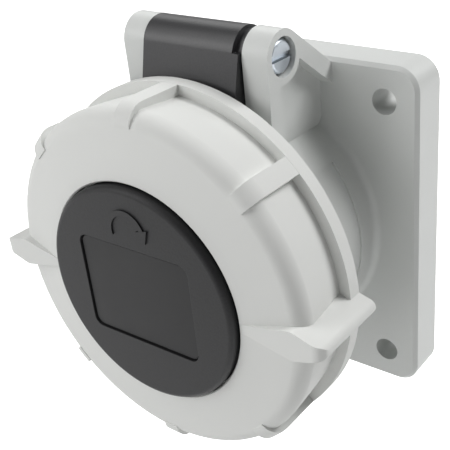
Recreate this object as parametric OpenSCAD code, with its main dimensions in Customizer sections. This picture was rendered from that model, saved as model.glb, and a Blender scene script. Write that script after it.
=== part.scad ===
// Industrial panel socket, four poles, with a hinged lid and a bayonet locking ring.
//
// Row frame: X to the right, +Y into the panel, Z up. The origin is the centre of the
// flange's back face, which meets the panel.
// Drawing frame, used inside the modules: x to the right, y up, z towards the user,
// with z = 0 on the flange's front face. in_row_frame() turns one into the other.

/* [Flange] */
// Width and height of the square flange
flange_w = 75; // [72:0.5:90]
// Thickness of the flange
flange_t = 9.3; // [8:0.1:14]
// Radius of the flange's corners
flange_corner_r = 5; // [3:0.5:8]
// Chamfer on the front edge of the flange
flange_chamfer = 0.8; // [0.4:0.1:1.5]
// Distance between the fixing holes, across and up
hole_spacing = 60; // [58:0.5:62]
// Diameter of the fixing holes
hole_d = 5.5; // [4.2:0.1:6.5]
// Depth of the cored pockets behind the corners
pocket_depth = 6; // [3:0.5:6.5]
// Outer radius of the sealing land round the spigot
land_r = 36; // [35.6:0.1:36.6]

/* [Housing body] */
// Outer radius of the neck between flange and collar
neck_r = 27.6; // [27.4:0.1:28.2]
// Wall of the neck
neck_wall = 2; // [1.8:0.1:2.2]
// Radius of the fillet where the neck meets the flange
neck_fillet = 1.7; // [1:0.1:3]
// Outer radius of the collar that the lid closes on
collar_r = 31; // [30.9:0.05:31.1]
// Length of the collar
collar_len = 10; // [9.6:0.1:10.6]
// Height of the collar's rim above the flange
rim_h = 35.2; // [34:0.1:36]
// Depth of the plug's seat below the rim
seat_depth = 40.2; // [38:0.1:41]
// Thickness of the floor that both carriers clamp
floor_t = 3; // [2:0.1:3.5]
// Outer radius of the spigot behind the flange
spigot_r = 29; // [28.6:0.1:29.5]
// Length of the spigot behind the flange
spigot_len = 12; // [6:0.5:20]
// Width of the keyway at six o'clock
key_w = 6.2; // [5:0.1:7]
// Depth of the keyway
key_depth = 2.3; // [1.5:0.1:2.4]
// Width of the bare field on the neck's right side, in degrees
field_w = 80; // [40:5:90]
// Height of the field's rear edge above the flange
field_z = 5.8; // [4:0.1:7]
// Length of the field
field_len = 14.2; // [10:0.2:15]
// Depth of the field
field_depth = 0.4; // [0.2:0.1:0.6]

/* [Bayonet] */
// Angle that the ring turns through from free to locked
lock_angle = 40; // [38:1:42]
// Width of the ring's inner lugs, in degrees
ring_lug_w = 18; // [12:1:20]
// Outer radius of the collar's lugs
collar_lug_r = 32.9; // [32.5:0.1:33]
// Axial length of the collar's lugs
collar_lug_len = 3.2; // [2:0.1:4]
// Gap between engaged lugs
lug_gap = 0.15; // [0.1:0.05:0.3]

/* [Hinge] */
// Height of the hinge axis above the socket's centre
hinge_y = 42.1; // [41.8:0.1:43]
// Distance of the hinge axis behind the collar's rim
hinge_drop = 19.4; // [19:0.1:19.7]
// Outer radius of the hinge lugs
hinge_r = 5.25; // [5:0.05:5.6]
// Inner faces of the two lugs, from the middle
lug_in = 12.1; // [12:0.1:13]
// Outer face of the web, from the middle
lug_web = 15; // [14.9:0.05:15.2]
// Outer face of the ribs and bosses, from the middle
lug_out = 17.9; // [17.7:0.1:18.5]
// Width of the upright rib at the lug's front
front_rib_w = 3.7; // [2.5:0.1:4.5]
// Width of the sloping rib along the lug's top
top_rib_w = 3.5; // [2.5:0.1:4.5]
// Diameter of the hinge screw's shank
pin_d = 3.9; // [3.5:0.1:4]
// Radial clearance of the hinge screw in its holes
pin_clear = 0.08; // [0.02:0.01:0.1]
// Diameter of the hinge screw's head
pin_head_d = 6.9; // [6.2:0.1:7]
// Height of the hinge screw's head
pin_head_h = 2.6; // [2:0.1:2.7]
// Radius of the recess round the screw's head
head_recess_r = 3.85; // [3.75:0.05:3.95]
// Depth of the recess round the screw's head
head_recess_depth = 3; // [2.8:0.05:3]
// Width across the flats of the hinge nut
nut_af = 7; // [6:0.1:7]
// Thickness of the hinge nut
nut_t = 2.8; // [2.4:0.1:2.9]

/* [Lid] */
// Outer radius of the lid's plate
lid_r = 33.6; // [33.4:0.1:33.7]
// Thickness of the lid's plate
lid_t = 3; // [2.5:0.1:3.2]
// Height of the seal that shows below the plate
seal_proud = 1; // [0.6:0.1:1.2]
// Inner radius of the seal
seal_in = 28.3; // [28.2:0.05:28.4]
// Outer radius of the seal
seal_out = 30.7; // [30.5:0.1:30.8]
// Depth of the groove that holds the seal
seal_groove = 1.4; // [1:0.1:1.6]
// Thickness of the arm's tongue, between the collar and the ring
tongue_t = 1.8; // [1.5:0.1:1.8]
// Gap between the tongue and the collar
tongue_gap = 0.5; // [0.4:0.05:0.6]
// Half the width of the arm
arm_half = 11.8; // [11:0.1:11.8]
// Radius of the arm's barrel
barrel_r = 5.4; // [5.2:0.05:5.6]
// Lean of the arm's front face
arm_lean = 14; // [10:1:15]
// Thickness of the arm
arm_t = 4.2; // [3.6:0.1:4.4]
// Width of the notch at the barrel's right end
notch_w = 1.4; // [1:0.1:1.8]
// Radius of the hub inside the notch
hub_r = 4.7; // [4.6:0.05:4.8]

/* [Hinge spring] */
// Diameter of the spring's wire
wire_d = 0.9; // [0.7:0.05:1]
// Mean radius of the spring's coils
coil_r = 3.3; // [3.2:0.05:3.35]
// Number of turns
coil_turns = 6; // [4:1:6]
// Pitch of the turns
coil_pitch = 1.05; // [1.02:0.01:1.06]
// Length of the straight end that enters the lug or the arm
tang_len = 1.3; // [1:0.1:1.4]

/* [Ring] */
// Radius of the ring's drum next to its rear lip
drum_rear_r = 36.1; // [36:0.1:36.5]
// Radius of the ring's drum next to its front
drum_front_r = 37; // [36.6:0.1:37.4]
// Inner radius of the ring
ring_in = 34.1; // [34:0.05:34.2]
// Outer radius of the rear lip
lip_r = 38.4; // [38:0.1:39]
// Length of the rear lip
lip_len = 3; // [2:0.1:4]
// Length of the ring, from its rear face to its front
ring_len = 17.2; // [17:0.1:17.4]
// Height of the ring's front above the lid's plate
ring_rise = 3; // [2.8:0.1:3.4]
// Fall of the front face from its middle to its edge
face_fall = 1.5; // [0.5:0.1:2]
// Radius of the rounded front edge
front_edge_r = 3.5; // [2.5:0.1:4]
// Width of a grip rib
rib_w = 4; // [3:0.1:5]
// Number of places round the ring that hold a rib or a wing
grip_count = 8; // [8:4:12]
// Reach of the wings from the middle
wing_r = 41.9; // [40.5:0.1:46]
// Thickness of a wing at its tip
wing_t = 3; // [2.4:0.1:3.6]
// Width of a wing at its shoulder, above the drum's edge
wing_w = 6.2; // [5:0.1:7]
// Radius of the wing's front corner
wing_corner_r = 2.6; // [1.5:0.1:3]

/* [Centre disc] */
// Radius of the disc
disc_r = 23.3; // [23:0.1:24]
// Height of the disc above the ring's front face
disc_proud = 2.4; // [1.5:0.1:3]
// Radius of the disc's front edge
disc_edge_r = 1.2; // [0.6:0.1:1.4]
// Gap round the disc
disc_gap = 0.3; // [0.2:0.05:0.5]
// Width of the label's recess
label_w = 28; // [20:0.5:32]
// Height of the label's recess
label_h = 21.5; // [16:0.5:24]
// Depth of the label's recess
label_depth = 0.9; // [0.6:0.1:1]
// Thickness of the label
label_t = 0.5; // [0.3:0.1:0.5]

/* [Contacts] */
// Radius of the circle that the contacts stand on
pitch_r = 13.5; // [13:0.1:14]
// Diameter of the phase pins that the sleeves take
phase_pin_d = 5; // [4.8:0.1:5.2]
// Diameter of the earth pin
earth_pin_d = 7; // [6.8:0.1:7.2]
// Radial clearance of the pins in the sleeves
sleeve_clear = 0.05; // [0.02:0.01:0.1]
// Wall of the sleeves
sleeve_wall = 1.2; // [1:0.1:1.4]
// Outer radius of the contact carrier
carrier_r = 21; // [20.8:0.1:21.4]
// Depth of the carrier's face below the rim
face_depth = 5; // [3:0.5:8]
// Depth of the sleeves' mouths below the carrier's face
sleeve_depth = 1.5; // [1:0.1:3]
// Length of the terminal block behind the floor
block_len = 30; // [28:0.5:40]
// Outer radius of the terminal block
block_r = 24; // [23.6:0.1:24.4]
// Outer radius of the terminal barrels
barrel_end_r = 4.9; // [4.8:0.05:5]
// Radius of the wire holes in the terminals
wire_r = 2.3; // [1.8:0.1:2.6]
// Diameter of the terminal screws
clamp_d = 4; // [3.5:0.5:4]

/* [Hidden] */
$fn = 96;

// Overlap that joins solids of one moulding, and overshoot of a cut
join = 0.2;
cut = 1;
// Clearance between pieces of one assembly that don't move on each other
fit = 0.1;
// Clearance round the gasket and the label
loose = 0.3;

// Colours of the materials
light_grey = [0.80, 0.81, 0.79];
black = [0.12, 0.12, 0.125];
dark_rubber = [0.09, 0.09, 0.09];
zinc = [0.62, 0.65, 0.69];
brass = [0.78, 0.64, 0.36];
insulator = [0.2, 0.2, 0.21];
blank_label = [0.1, 0.1, 0.105];

// Clock angles of the contacts, measured counterclockwise from the right
earth_at = 240;
contact_angles = [for (i = [1:3]) earth_at - 90 * i];
screw_angles = [earth_at - 45, earth_at - 225];

collar_step = 1.5;
rim_chamfer = 0.5;
flange_wall = 2.5;
gasket_in_r = 30.3;
gasket_w = 4.4;
gasket_t = 2;
stop_gap = 1.5;
slot_w = 1.1;
slot_depth = 1;
bore_r = neck_r - neck_wall;
seat_z = rim_h - seat_depth;
collar_rear = rim_h - collar_len;
floor_z = seat_z - floor_t;
spigot_z = -flange_t - spigot_len;
floor_in_r = carrier_r - 1.3;
key_r = bore_r + key_depth;
key_wall = 1.8;

hinge_z = rim_h - hinge_drop;
pin_r = pin_d / 2;
pin_hole_r = pin_r + pin_clear;
head_seat_x = lug_out - head_recess_depth;
nut_seat_x = -lug_web + 0.3;
nut_pocket_af = nut_af + 2 * fit;
screw_end_x = nut_seat_x - nut_t;

lid_rear_z = rim_h + seal_proud;
lid_front_z = lid_rear_z + lid_t;
ring_front = lid_front_z + ring_rise;
ring_rear = ring_front - ring_len;
boss_out_r = 21.5;
boss_in_r = 19.5;
boss_h = 2;
boss_z = lid_front_z + boss_h;
tongue_in_r = collar_r + tongue_gap;
tongue_out_r = tongue_in_r + tongue_t;
tongue_half_angle = asin(arm_half / tongue_out_r);
arm_forward = 0.6;
arm_c = [hinge_z + arm_forward, hinge_y];
arm_low_z = ring_rear - 0.7;
arm_low_y = 28;
bead_z = 0.6;
lug_c = [hinge_z, hinge_y];
lug_front = hinge_z + hinge_r;
lug_low_y = 20.5;
lug_foot = [0, flange_w / 2 - flange_chamfer];
lug_touch = tangent_point(lug_foot, lug_c, hinge_r);
tang_place = [0, hinge_y + coil_r, hinge_z];
coil_steps = 20;
head_edge_r = 1.2;
pin_slot_w = 1.2;
pin_slot_depth = 1.1;
slot_turn = 1;

spring_pocket_r = coil_r + wire_d / 2 + 0.25;
coil_len = coil_turns * coil_pitch;
coil_end_x = lug_in - 0.9;
coil_start_x = coil_end_x - coil_len;
pocket_x = coil_start_x - wire_d / 2 - 0.1;
tang_groove_depth = 1.6;

ring_face_gap = 0.2;
ring_hole_r = disc_r + disc_gap;
ledge_t = 1.6;
ledge_in_r = boss_out_r + 0.3;
ledge_rear_z = lid_front_z + ring_face_gap;
ledge_front_z = ledge_rear_z + ledge_t;
edge_centre_r = drum_front_r - front_edge_r;
edge_z = ring_front - face_fall;
edge_centre_z = edge_z - front_edge_r;
rib_crest_r = lip_r - 0.05;
rib_nose_r = 4;
ring_lug_in = tongue_in_r;
ring_lug_len = 2.6;
inner_chamfer = 0.4;
face_slope = atan(face_fall / (edge_centre_r - ring_hole_r));
ridge_w = 1.7;
wing_shoulder_x = drum_front_r - 2.1;
ring_lug_front = ring_rear + 3.2;
collar_lug_rear = ring_lug_front + lug_gap;
collar_lug_extra = 2;
stop_w = 2.5;

disc_top_z = ring_front + disc_proud;
skirt_out_r = boss_in_r - fit;
skirt_t = 1.3;
skirt_len = boss_h - 0.2;
bead = 0.3;
label_corner_r = 2;

carrier_face_z = rim_h - face_depth;
sleeve_face_z = carrier_face_z - sleeve_depth;
sleeve_shoulder_t = 2;
block_rear_z = floor_z - block_len;
terminal_end_z = block_rear_z + 2;
clamp_z = terminal_end_z + 5.5;
clamp_head_r = 3.4;
clamp_head_h = 2.2;
clamp_open = 1.8;
clamp_tip_r = pitch_r + wire_r + fit;
clamp_head_at = pitch_r + barrel_end_r + clamp_open;
wire_depth = 13;
carrier_screw_r = 1.75;
carrier_head_r = 3.1;
carrier_head_h = 2.2;
carrier_screw_at = 12;
carrier_screw_grip = 14;
carrier_head_z = floor_z - 6;

// Turns the drawing frame into the row frame.
module in_row_frame() {
    translate([0, -flange_t, 0]) rotate([90, 0, 0]) children();
}

// Draws children, given as outlines in (z, y), as a slab between two x positions.
module along_x(x0, x1) {
    translate([x0, 0, 0]) mirror([1, 0, 0]) rotate([0, -90, 0]) linear_extrude(x1 - x0) children();
}

// A cylinder along x on the hinge axis.
module on_hinge(x0, x1, r, sides = $fn) {
    translate([x0, hinge_y, hinge_z]) rotate([0, 90, 0]) cylinder(h = x1 - x0, r = r, $fn = sides);
}

// A ring sector from a profile in (radius, z).
module sector(middle, width) {
    rotate([0, 0, middle - width / 2]) rotate_extrude(angle = width) children();
}

// A square with round corners, exact at its corners.
module round_square(w, h, r) {
    square([w - 2 * r, h], center = true);
    square([w, h - 2 * r], center = true);
    for (sx = [-1, 1], sy = [-1, 1])
        translate([sx * (w / 2 - r), sy * (h / 2 - r)]) circle(r = r);
}

// Point where a line from p touches a circle, on the circle's upper side.
function tangent_point(p, c, r) =
    let (d = c - p, span = norm(d), a = atan2(d[1], d[0]) + asin(r / span))
    c + r * [-sin(a), cos(a)];

// Points of an arc.
function arc(c, r, a0, a1, steps) =
    [for (i = [0:steps]) let (a = a0 + (a1 - a0) * i / steps) c + r * [cos(a), sin(a)]];

// ---- Housing ----

// The flange, with a chamfer along its front edge: two crossed bars and four turned corners.
module flange_plate() {
    half = flange_w / 2;
    inner = half - flange_corner_r;
    for (turn = [0, 90]) rotate([0, 0, turn]) rotate([90, 0, 0]) translate([0, 0, -inner])
        linear_extrude(2 * inner) polygon([[-half, -flange_t], [half, -flange_t],
            [half, -flange_chamfer], [half - flange_chamfer, 0],
            [flange_chamfer - half, 0], [-half, -flange_chamfer]]);
    for (turn = [0:3]) rotate([0, 0, 90 * turn]) translate([inner, inner, 0])
        rotate_extrude(angle = 90) polygon([[0, -flange_t], [flange_corner_r, -flange_t],
            [flange_corner_r, -flange_chamfer], [flange_corner_r - flange_chamfer, 0], [0, 0]]);
}

// Neck, collar and spigot as one turned form, before they are bored.
module housing_barrel() {
    fillet_c = [neck_r + neck_fillet, neck_fillet];
    rotate_extrude() polygon(concat(
        [[0, spigot_z], [spigot_r - 1, spigot_z], [spigot_r, spigot_z + 1],
            [spigot_r, -flange_t + join], [fillet_c[0], -flange_t + join]],
        arc(fillet_c, neck_fillet, 270, 180, 6),
        [[neck_r, collar_rear - collar_step], [neck_r + collar_step, collar_rear],
            [collar_r, collar_rear], [collar_r, rim_h - rim_chamfer],
            [collar_r - rim_chamfer, rim_h], [0, rim_h]]));
}

// Outline of a hinge lug, in (z, y): its top runs from the flange's edge onto the boss.
module lug_outline() {
    touch_angle = 90 + atan2(lug_touch[1] - lug_foot[1], lug_touch[0] - lug_foot[0]);
    polygon(concat([[-1, lug_low_y], [lug_front, lug_low_y]],
        arc(lug_c, hinge_r, 0, touch_angle, 24), [lug_foot, [-1, lug_foot[1]]]));
}

// The boss and the two ribs that stand out from a lug's web, in (z, y).
module lug_ribs() {
    slope = lug_touch - lug_foot;
    along = slope / norm(slope);
    inward = [along[1], -along[0]] * top_rib_w;
    rib_rear = lug_front - front_rib_w;
    difference() {
        lug_outline();
        difference() {
            polygon([[-2, lug_low_y - 1], [rib_rear, lug_low_y - 1], [rib_rear, hinge_y],
                lug_touch + inward, lug_foot + inward - 3 * along]);
            translate(lug_c) circle(r = hinge_r);
        }
    }
}

module hinge_lug() {
    along_x(lug_in, lug_web) lug_outline();
    along_x(lug_web - join, lug_out) lug_ribs();
}

// Lugs on the collar that the ring's own lugs slide behind, each with a stop.
module collar_lugs() {
    for (half = [0, 180]) {
        sector(half - lock_angle, ring_lug_w + 2 * collar_lug_extra)
            translate([collar_r - join, collar_lug_rear])
                square([collar_lug_r - collar_r + join, collar_lug_len]);
        sector(half - lock_angle - ring_lug_w / 2 - stop_gap - stop_w / 2, stop_w)
            translate([collar_r - join, collar_rear])
                square([collar_lug_r - collar_r + join, collar_lug_rear + collar_lug_len - collar_rear]);
    }
}

// Thickening of the neck behind the keyway.
module key_ridge() {
    intersection() {
        translate([0, 0, -join]) cylinder(h = collar_rear + join, r = key_r + key_wall);
        translate([-key_w / 2 - key_wall, -neck_r - 2 * key_wall, -join])
            cube([key_w + 2 * key_wall, neck_r, collar_rear + join]);
    }
}

// Bore, floor opening, keyway and the space for the terminal block.
module housing_bores() {
    translate([0, 0, seat_z]) cylinder(h = rim_h - seat_z + cut, r = bore_r);
    translate([0, 0, floor_z - cut]) cylinder(h = floor_t + 2 * cut, r = floor_in_r);
    translate([0, 0, spigot_z - cut]) cylinder(h = floor_z - spigot_z + cut, r = block_r + fit);
    intersection() {
        translate([0, 0, seat_z]) cylinder(h = rim_h - seat_z + cut, r = key_r);
        translate([-key_w / 2, -neck_r - key_wall, seat_z])
            cube([key_w, neck_r, rim_h - seat_z + cut]);
    }
}

// Fixing holes, cored pockets and the gasket's groove.
module flange_cuts() {
    corners = [for (sx = [-1, 1], sy = [-1, 1]) [sx, sy] * hole_spacing / 2];
    for (c = corners)
        translate([c[0], c[1], -flange_t - cut]) cylinder(h = flange_t + 2 * cut, d = hole_d);
    translate([0, 0, -flange_t - cut]) linear_extrude(pocket_depth + cut) difference() {
        square(flange_w - 2 * flange_wall, center = true);
        circle(r = land_r);
        for (c = corners) translate(c) circle(r = hole_d / 2 + flange_wall);
    }
    translate([0, 0, -flange_t - cut]) rotate_extrude()
        translate([gasket_in_r - loose, 0]) square([gasket_w + 2 * loose, gasket_t + cut]);
}

// Shallow field on the right side of the neck, left bare.
module neck_field() {
    sector(0, field_w) translate([neck_r - field_depth, field_z]) square([field_depth + cut, field_len]);
}

// Holes for the hinge screw, its head and its nut, and the groove for the spring's end.
module hinge_cuts() {
    on_hinge(-lug_out - cut, lug_out + cut, pin_hole_r);
    on_hinge(head_seat_x, lug_out + cut, head_recess_r);
    on_hinge(-lug_out - cut, nut_seat_x, nut_pocket_af / sqrt(3), 6);
    difference() {
        on_hinge(lug_in - cut, lug_in + tang_groove_depth, coil_r + wire_d / 2 + 0.15);
        on_hinge(lug_in - 2 * cut, lug_in + 2 * tang_groove_depth, coil_r - wire_d / 2 - 0.15);
    }
}

module housing() {
    color(light_grey) in_row_frame() difference() {
        union() {
            flange_plate();
            housing_barrel();
            key_ridge();
            collar_lugs();
            hinge_lug();
            mirror([1, 0, 0]) hinge_lug();
        }
        housing_bores();
        neck_field();
        flange_cuts();
        hinge_cuts();
    }
}

// Rubber ring that seals the flange to the panel, flush as it is when compressed.
module flange_gasket() {
    color(dark_rubber) in_row_frame() translate([0, 0, -flange_t]) rotate_extrude()
        translate([gasket_in_r, 0]) square([gasket_w, gasket_t]);
}

// ---- Contacts ----

function is_earth(a) = a == earth_at;
function pin_bore_r(a) = (is_earth(a) ? earth_pin_d : phase_pin_d) / 2 + sleeve_clear;
function sleeve_r(a) = pin_bore_r(a) + sleeve_wall;
function shoulder_r(a) = sleeve_r(a) + 0.7;

// Places children on the contact circle at a clock angle, with x pointing outward.
module at_contact(a) {
    rotate([0, 0, a]) translate([pitch_r, 0, 0]) children();
}

all_angles = concat(contact_angles, [earth_at]);

// Front insulator that the plug's shroud slides over.
module contact_carrier() {
    color(insulator) in_row_frame() difference() {
        union() {
            translate([0, 0, seat_z]) cylinder(h = carrier_face_z - seat_z - 1, r = carrier_r);
            translate([0, 0, carrier_face_z - 1]) cylinder(h = 1, r1 = carrier_r, r2 = carrier_r - 1);
            translate([0, 0, floor_z]) cylinder(h = floor_t + join, r = floor_in_r - loose);
        }
        for (a = all_angles) at_contact(a) {
            translate([0, 0, floor_z - cut]) cylinder(h = sleeve_face_z - floor_z + cut, r = sleeve_r(a) + fit);
            translate([0, 0, floor_z - cut]) cylinder(h = sleeve_shoulder_t + fit + cut, r = shoulder_r(a) + fit);
            translate([0, 0, sleeve_face_z - cut]) cylinder(h = sleeve_depth + 2 * cut, r = pin_bore_r(a) + 0.4);
        }
        for (a = screw_angles) rotate([0, 0, a]) translate([carrier_screw_at, 0, floor_z - cut])
            cylinder(h = carrier_screw_grip + cut, r = carrier_screw_r);
    }
}

// Rear insulator with the terminals' wire and screw openings.
module terminal_block() {
    color(insulator) in_row_frame() difference() {
        union() {
            translate([0, 0, block_rear_z + 1]) cylinder(h = block_len - 1, r = block_r);
            translate([0, 0, block_rear_z]) cylinder(h = 1, r1 = block_r - 1, r2 = block_r);
        }
        for (a = all_angles) at_contact(a) {
            translate([0, 0, terminal_end_z]) cylinder(h = floor_z - terminal_end_z + cut, r = barrel_end_r + fit);
            translate([0, 0, block_rear_z - cut]) cylinder(h = 2 * cut + 2, r = wire_r + 1);
            translate([0, 0, clamp_z]) rotate([0, 90, 0]) cylinder(h = block_r, r = clamp_head_r + loose);
        }
        for (a = screw_angles) rotate([0, 0, a]) translate([carrier_screw_at, 0, 0]) {
            translate([0, 0, block_rear_z - cut])
                cylinder(h = carrier_head_z - block_rear_z + cut, r = carrier_head_r + loose);
            translate([0, 0, block_rear_z]) cylinder(h = block_len + cut, r = carrier_screw_r + fit);
        }
    }
}

// One turned contact: sleeve for the plug's pin, shoulder and terminal barrel.
module contact(a) {
    color(brass) in_row_frame() at_contact(a) difference() {
        union() {
            translate([0, 0, floor_z]) cylinder(h = sleeve_face_z - floor_z, r = sleeve_r(a));
            translate([0, 0, floor_z]) cylinder(h = sleeve_shoulder_t, r = shoulder_r(a));
            translate([0, 0, terminal_end_z]) cylinder(h = floor_z - terminal_end_z, r = barrel_end_r);
        }
        translate([0, 0, floor_z]) cylinder(h = sleeve_face_z - floor_z + cut, r = pin_bore_r(a));
        translate([0, 0, terminal_end_z - cut]) cylinder(h = wire_depth + cut, r = wire_r);
        translate([0, 0, clamp_z]) rotate([0, 90, 0])
            cylinder(h = barrel_end_r + cut, r = clamp_d / 2 + 0.02);
    }
}

// Slotted screw that clamps a wire in its terminal.
module clamp_screw(a) {
    color(zinc) in_row_frame() rotate([0, 0, a]) translate([0, 0, clamp_z]) rotate([0, 90, 0]) difference() {
        union() {
            translate([0, 0, clamp_tip_r]) cylinder(h = clamp_head_at - clamp_tip_r + join, r = clamp_d / 2 - 0.03);
            translate([0, 0, clamp_head_at]) cylinder(h = clamp_head_h, r = clamp_head_r);
        }
        translate([-clamp_head_r - cut, -slot_w / 2, clamp_head_at + clamp_head_h - slot_depth])
            cube([2 * clamp_head_r + 2 * cut, slot_w, slot_depth + cut]);
    }
}

// Screw that pulls the two insulators together on the housing's floor.
module carrier_screw(a) {
    color(zinc) in_row_frame() rotate([0, 0, a]) translate([carrier_screw_at, 0, 0]) difference() {
        union() {
            translate([0, 0, carrier_head_z - join])
                cylinder(h = floor_z + carrier_screw_grip - carrier_head_z - fit, r = carrier_screw_r - 0.03);
            translate([0, 0, carrier_head_z - carrier_head_h]) cylinder(h = carrier_head_h, r = carrier_head_r);
        }
        translate([-carrier_head_r - cut, -slot_w / 2, carrier_head_z - carrier_head_h - cut])
            cube([2 * carrier_head_r + 2 * cut, slot_w, slot_depth + cut]);
    }
}

// ---- Lid ----

// Outline of the hinge arm, in (z, y): the barrel, and a leaning strap that ends upright.
module arm_outline() {
    front = arm_c + barrel_r * [cos(arm_lean), sin(arm_lean)];
    bend_y = front[1] - (arm_low_z - front[0]) / tan(arm_lean);
    rear_angle = arm_lean + 360 - acos((barrel_r - arm_t) / barrel_r);
    polygon(concat(arc(arm_c, barrel_r, arm_lean, rear_angle, 48),
        [[arm_low_z - arm_t, arm_low_y], [arm_low_z, arm_low_y], [arm_low_z, bend_y]]));
}

// The arm with its tongue, which passes between the collar and the ring.
module lid_arm() {
    difference() {
        along_x(-arm_half, arm_half) arm_outline();
        cylinder(h = lid_rear_z, r = tongue_in_r + join);
        difference() {
            translate([arm_half - notch_w, arm_c[1] + barrel_r * sin(arm_lean), hinge_z - 2 * barrel_r])
                cube([notch_w + cut, 2 * barrel_r, 4 * barrel_r]);
            on_hinge(0, lug_in, hub_r);
        }
    }
    sector(90, 2 * tongue_half_angle)
        translate([tongue_in_r, arm_low_z - arm_t / 2])
            square([tongue_t, lid_rear_z + join - arm_low_z + arm_t / 2]);
}

// Plate with the boss that the centre disc snaps into.
module lid_plate() {
    rotate_extrude() polygon([[0, lid_rear_z], [lid_r, lid_rear_z], [lid_r, lid_front_z - 1],
        [lid_r - 1, lid_front_z], [boss_out_r, lid_front_z], [boss_out_r, boss_z],
        [boss_in_r, boss_z], [boss_in_r, lid_front_z + bead_z + 2 * bead],
        [boss_in_r + bead, lid_front_z + bead_z + bead], [boss_in_r, lid_front_z + bead_z],
        [boss_in_r, lid_front_z], [0, lid_front_z]]);
}

module lid() {
    color(black) in_row_frame() difference() {
        union() {
            lid_plate();
            lid_arm();
        }
        rotate_extrude() translate([seal_in - fit, lid_rear_z - cut])
            square([seal_out - seal_in + 2 * fit, seal_groove + cut]);
        on_hinge(-arm_half - cut, arm_half + cut, pin_hole_r);
        on_hinge(pocket_x, arm_half + cut, spring_pocket_r);
        translate([pocket_x - tang_len - fit, 0, 0] + tang_place)
            rotate([0, 90, 0]) cylinder(h = tang_len + cut, r = wire_d / 2 + fit);
    }
}

// Rubber ring in the lid's groove that meets the collar's rim.
module lid_seal() {
    color(dark_rubber) in_row_frame() rotate_extrude() translate([seal_in, rim_h])
        square([seal_out - seal_in, seal_proud + seal_groove]);
}

// Black disc that holds the ring on the lid.
module centre_disc() {
    color(black) in_row_frame() difference() {
        rotate_extrude() polygon(concat(
            [[0, boss_z], [skirt_out_r - skirt_t, boss_z], [skirt_out_r - skirt_t, boss_z - skirt_len],
                [skirt_out_r, boss_z - skirt_len], [skirt_out_r, lid_front_z + bead_z + fit],
                [skirt_out_r + bead, lid_front_z + bead_z + bead],
                [skirt_out_r, lid_front_z + bead_z + 2 * bead - fit], [skirt_out_r, boss_z],
                [disc_r, boss_z]],
            arc([disc_r - disc_edge_r, disc_top_z - disc_edge_r], disc_edge_r, 0, 90, 8),
            [[0, disc_top_z]]));
        translate([0, 0, disc_top_z - label_depth]) linear_extrude(label_depth + cut)
            round_square(label_w, label_h, label_corner_r);
    }
}

// Blank plate in the disc's recess.
module label_plate() {
    color(blank_label) in_row_frame() translate([0, 0, disc_top_z - label_depth]) linear_extrude(label_t)
        round_square(label_w - 2 * loose, label_h - 2 * loose, label_corner_r - loose);
}

// ---- Ring ----

// Section of the ring, in (radius, z).
module ring_section() {
    polygon(concat(
        [[ring_in, ring_rear], [lip_r, ring_rear], [lip_r, ring_rear + lip_len],
            [drum_rear_r, ring_rear + lip_len]],
        arc([edge_centre_r, edge_centre_z], front_edge_r, 0, 90 - face_slope, 10),
        [[ring_hole_r + 0.3, ring_front], [ring_hole_r, ring_front - 0.3], [ring_hole_r, ledge_front_z],
            [ledge_in_r, ledge_front_z], [ledge_in_r, ledge_rear_z],
            [ring_in - inner_chamfer, ledge_rear_z], [ring_in, ledge_rear_z - inner_chamfer]]));
}

// A grip rib that is flush with the lip and rolls over the front edge.
module grip_rib(a) {
    nose_c = [rib_crest_r - rib_nose_r, edge_z - rib_nose_r + 0.1];
    sector(a, rib_w / lip_r * 180 / PI) polygon(concat(
        [[drum_rear_r - 1, ring_rear + lip_len - join], [rib_crest_r, ring_rear + lip_len - join]],
        arc(nose_c, rib_nose_r, 0, 90, 8),
        [[nose_c[0], edge_centre_z], [drum_rear_r - 1, edge_centre_z - 1]]));
}

// Half of a wing's plan, in (x, y): a ridge that widens to the shoulder, then tapers to the tip.
function wing_side() =
    let (start = [ring_hole_r + 0.5, ridge_w / 2], shoulder = [wing_shoulder_x, 0],
        touch = tangent_point(start, shoulder, wing_w / 2) - shoulder,
        tip = [wing_r - wing_t / 2, 0],
        taper = 90 - asin((wing_w - wing_t) / 2 / (tip[0] - shoulder[0])))
    concat([start], arc(shoulder, wing_w / 2, atan2(touch[1], touch[0]), taper, 6),
        arc(tip, wing_t / 2, taper, 0, 6));

// A wing: a blade on the drum with a ridge that runs to the centre of the face.
module wing() {
    side = wing_side();
    plan = concat(side, [for (i = [len(side) - 2:-1:0]) [side[i][0], -side[i][1]]]);
    intersection() {
        union() {
            translate([0, 0, ring_rear]) linear_extrude(ring_front - ring_rear) intersection() {
                polygon(plan);
                translate([drum_rear_r - 1, -wing_w]) square([wing_r, 2 * wing_w]);
            }
            translate([0, 0, ledge_rear_z + join]) linear_extrude(ring_front - ledge_rear_z - join) polygon(plan);
        }
        rotate([90, 0, 0]) translate([0, 0, -wing_r / 2]) linear_extrude(wing_r) polygon(concat(
            [[0, ring_rear], [wing_r, ring_rear]],
            arc([wing_r - wing_corner_r, ring_front - wing_corner_r], wing_corner_r, 0, 90, 6),
            [[0, ring_front]]));
    }
}

module bayonet_ring() {
    color(light_grey) in_row_frame() {
        rotate_extrude() ring_section();
        for (i = [0:grip_count - 1]) if (i % (grip_count / 2) != 0) grip_rib(i * 360 / grip_count);
        for (a = [0, 180]) rotate([0, 0, a]) wing();
        for (a = [0, 180]) sector(a, ring_lug_w)
            translate([ring_lug_in, ring_lug_front - ring_lug_len])
                square([ring_in - ring_lug_in + join, ring_lug_len]);
    }
}

// ---- Hinge hardware ----

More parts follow.
